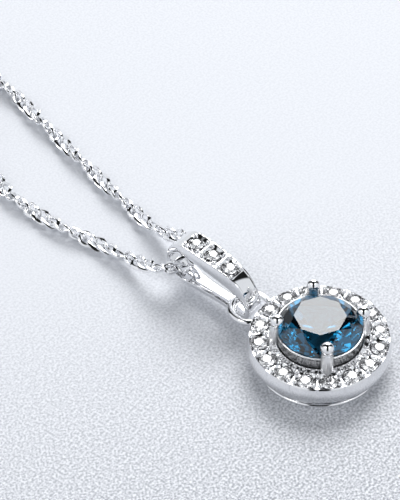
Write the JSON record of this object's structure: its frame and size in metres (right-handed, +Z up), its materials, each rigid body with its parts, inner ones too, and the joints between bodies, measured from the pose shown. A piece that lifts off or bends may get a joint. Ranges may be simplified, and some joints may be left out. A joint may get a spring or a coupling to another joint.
{
  "type": "halo pendant necklace",
  "caption": "Round halo pendant with a raised prong-set blue stone, pavé bail and twisted curb chain with a spring ring clasp, lying face up.",
  "frame": {"origin": "on the surface that the pendant lies on, under the middle of the head, hanging ring and bail", "axes": "+Z up out of the stone's table, +Y from the head along the bail towards the chain, +X to the right"},
  "size_m": [0.025, 0.0571, 0.0051],
  "materials": {
    "polished_silver": "polished",
    "chain_silver": "polished",
    "clasp_silver": "polished",
    "spring_wire": "satin",
    "blue_stone": "gloss",
    "clear_stone": "gloss"
  },
  "bodies": {
    "chain": {"chain_right_run": "chain_silver", "chain_left_run": "chain_silver", "chain_right_tail": "chain_silver", "chain_left_tail": "chain_silver", "chain_coil": "chain_silver", "jump_ring": "clasp_silver", "end_ring": "clasp_silver"},
    "bail": {"bail": "polished_silver", "bail_stone_1": "clear_stone", "bail_stone_2": "clear_stone", "bail_stone_3": "clear_stone"},
    "head": {"halo_frame": "polished_silver", "basket": "polished_silver", "under_gallery": "polished_silver", "hanging_ring": "polished_silver", "centre_stone": "blue_stone", "prong_1": "polished_silver", "prong_2": "polished_silver", "prong_3": "polished_silver", "prong_4": "polished_silver", "halo_stone_1": "clear_stone", "halo_stone_2": "clear_stone", "halo_stone_3": "clear_stone", "halo_stone_4": "clear_stone", "halo_stone_5": "clear_stone", "halo_stone_6": "clear_stone", "halo_stone_7": "clear_stone", "halo_stone_8": "clear_stone", "halo_stone_9": "clear_stone", "halo_stone_10": "clear_stone", "halo_stone_11": "clear_stone", "halo_stone_12": "clear_stone", "halo_stone_13": "clear_stone", "halo_stone_14": "clear_stone", "halo_stone_15": "clear_stone", "halo_stone_16": "clear_stone"},
    "clasp": {"clasp_ring": "clasp_silver", "clasp_eyelet": "clasp_silver", "clasp_spring": "spring_wire"},
    "trigger": {"clasp_trigger": "clasp_silver"}
  },
  "joints": [
    {"name": "bail_swing", "type": "hinge", "parent": "chain", "child": "bail", "pos_m": [0.0004, 0.00784, 0.00255], "axis": [0.9976, -0.0698, 0], "range_deg": [-90, 60]},
    {"name": "head_swing", "type": "hinge", "parent": "bail", "child": "head", "pos_m": [0.0001, 0.0035, 0.0016], "axis": [0.9976, -0.0698, 0], "range_deg": [-30, 95]},
    {"name": "clasp_swivel", "type": "hinge", "parent": "chain", "child": "clasp", "pos_m": [-0.0133, 0.03488, 0.0006], "axis": [0, 0, 1], "range_deg": [-25, 15]},
    {"name": "trigger_slide", "type": "hinge", "parent": "clasp", "child": "trigger", "pos_m": [-0.0133, 0.0316, 0.0006], "axis": [0, 0, 1], "range_deg": [0, 50], "stiffness_Nm_per_rad": 0.002, "deforming": ["clasp_spring"]}
  ]
}
